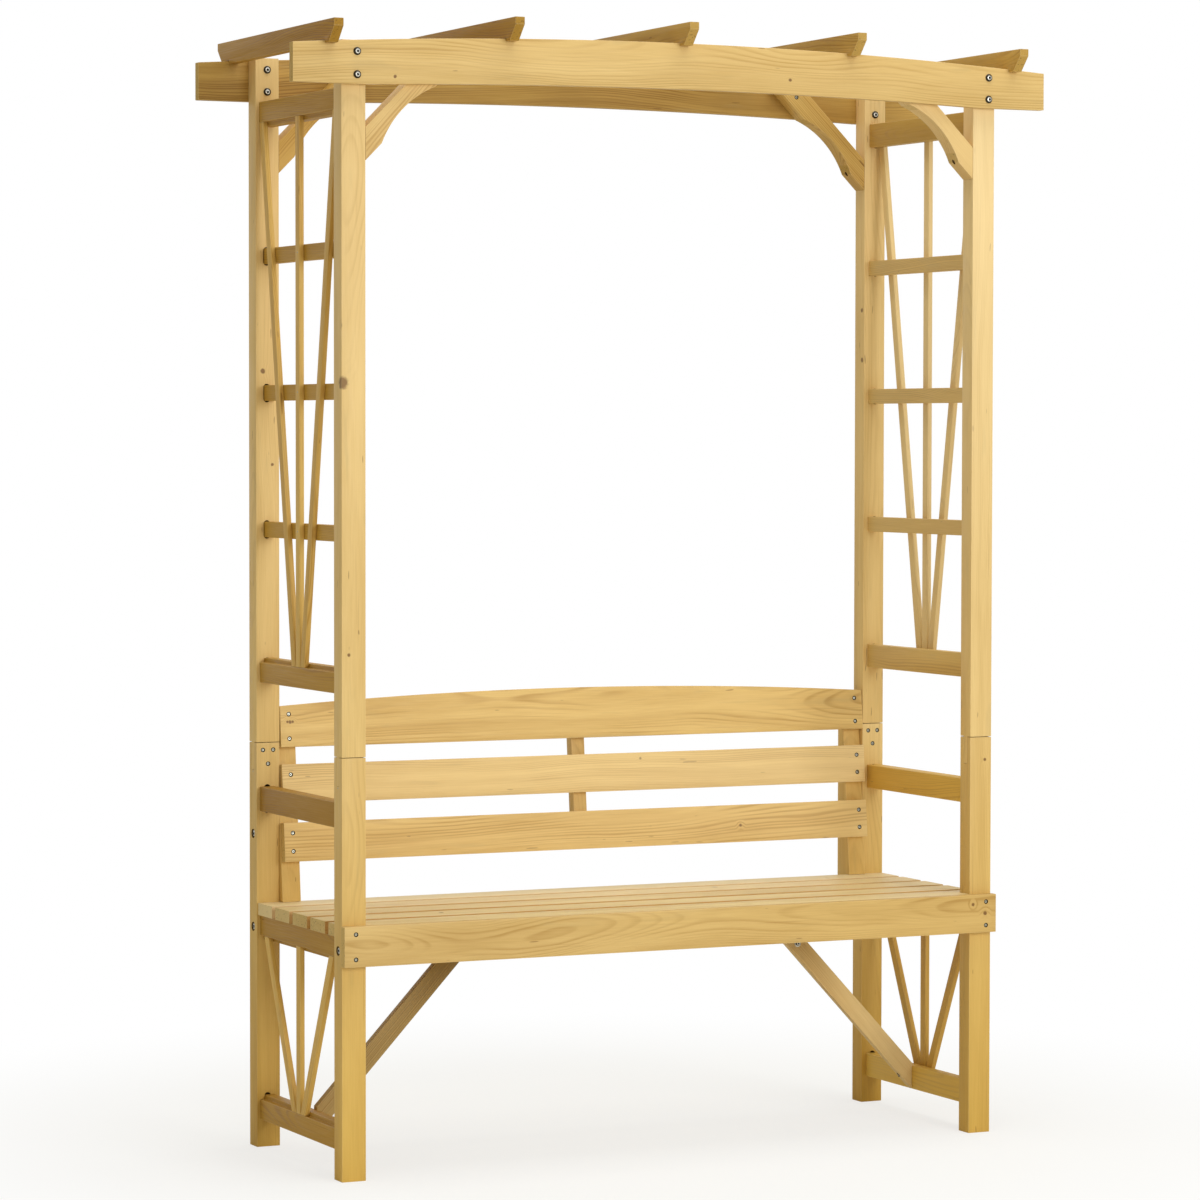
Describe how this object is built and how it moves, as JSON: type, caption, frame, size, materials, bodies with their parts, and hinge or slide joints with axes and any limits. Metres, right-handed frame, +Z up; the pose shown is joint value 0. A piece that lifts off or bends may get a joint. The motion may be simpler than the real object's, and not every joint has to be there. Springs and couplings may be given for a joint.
{
  "type": "arbour seat",
  "caption": "Wooden arbour seat with slatted bench, leaning backrest, fan-trellis side frames and a pergola roof of arched beams and notched rafters.",
  "frame": {"origin": "on the ground at the centre of the plan, under the middle of the bench", "axes": "+X along the bench, to the right of a person who looks at its front; +Y from the front to the back; +Z up"},
  "size_m": [1.5, 0.57, 2.0403],
  "materials": {
    "timber": "planed softwood, pale honey, unpainted"
  },
  "bodies": {
    "root": {"front_apron": "timber", "front_beam": "timber", "front_left_knee_bracket": "timber", "front_left_post_lower": "timber", "front_left_post_upper": "timber", "front_right_knee_bracket": "timber", "front_right_post_lower": "timber", "front_right_post_upper": "timber", "left_arm_rail": "timber", "left_back_upright": "timber", "left_bottom_stretcher": "timber", "left_brace": "timber", "left_brace_bearer": "timber", "left_end_bearer": "timber", "left_lower_front_lath": "timber", "left_lower_middle_lath": "timber", "left_lower_rear_lath": "timber", "left_seat_rail": "timber", "left_top_rail": "timber", "left_trellis_bottom_rail": "timber", "left_trellis_front_lath": "timber", "left_trellis_ladder": "timber", "left_trellis_rear_lath": "timber", "lower_back_slat": "timber", "middle_back_batten": "timber", "middle_back_slat": "timber", "rafter_1": "timber", "rafter_2": "timber", "rafter_3": "timber", "rafter_4": "timber", "rafter_5": "timber", "rear_beam": "timber", "rear_left_knee_bracket": "timber", "rear_left_post_lower": "timber", "rear_left_post_upper": "timber", "rear_right_knee_bracket": "timber", "rear_right_post_lower": "timber", "rear_right_post_upper": "timber", "right_arm_rail": "timber", "right_back_upright": "timber", "right_bottom_stretcher": "timber", "right_brace": "timber", "right_brace_bearer": "timber", "right_end_bearer": "timber", "right_lower_front_lath": "timber", "right_lower_middle_lath": "timber", "right_lower_rear_lath": "timber", "right_seat_rail": "timber", "right_top_rail": "timber", "right_trellis_bottom_rail": "timber", "right_trellis_front_lath": "timber", "right_trellis_ladder": "timber", "right_trellis_rear_lath": "timber", "seat_slat_1": "timber", "seat_slat_2": "timber", "seat_slat_3": "timber", "seat_slat_4": "timber", "seat_slat_5": "timber", "upper_back_slat": "timber"}
  },
  "joints": []
}
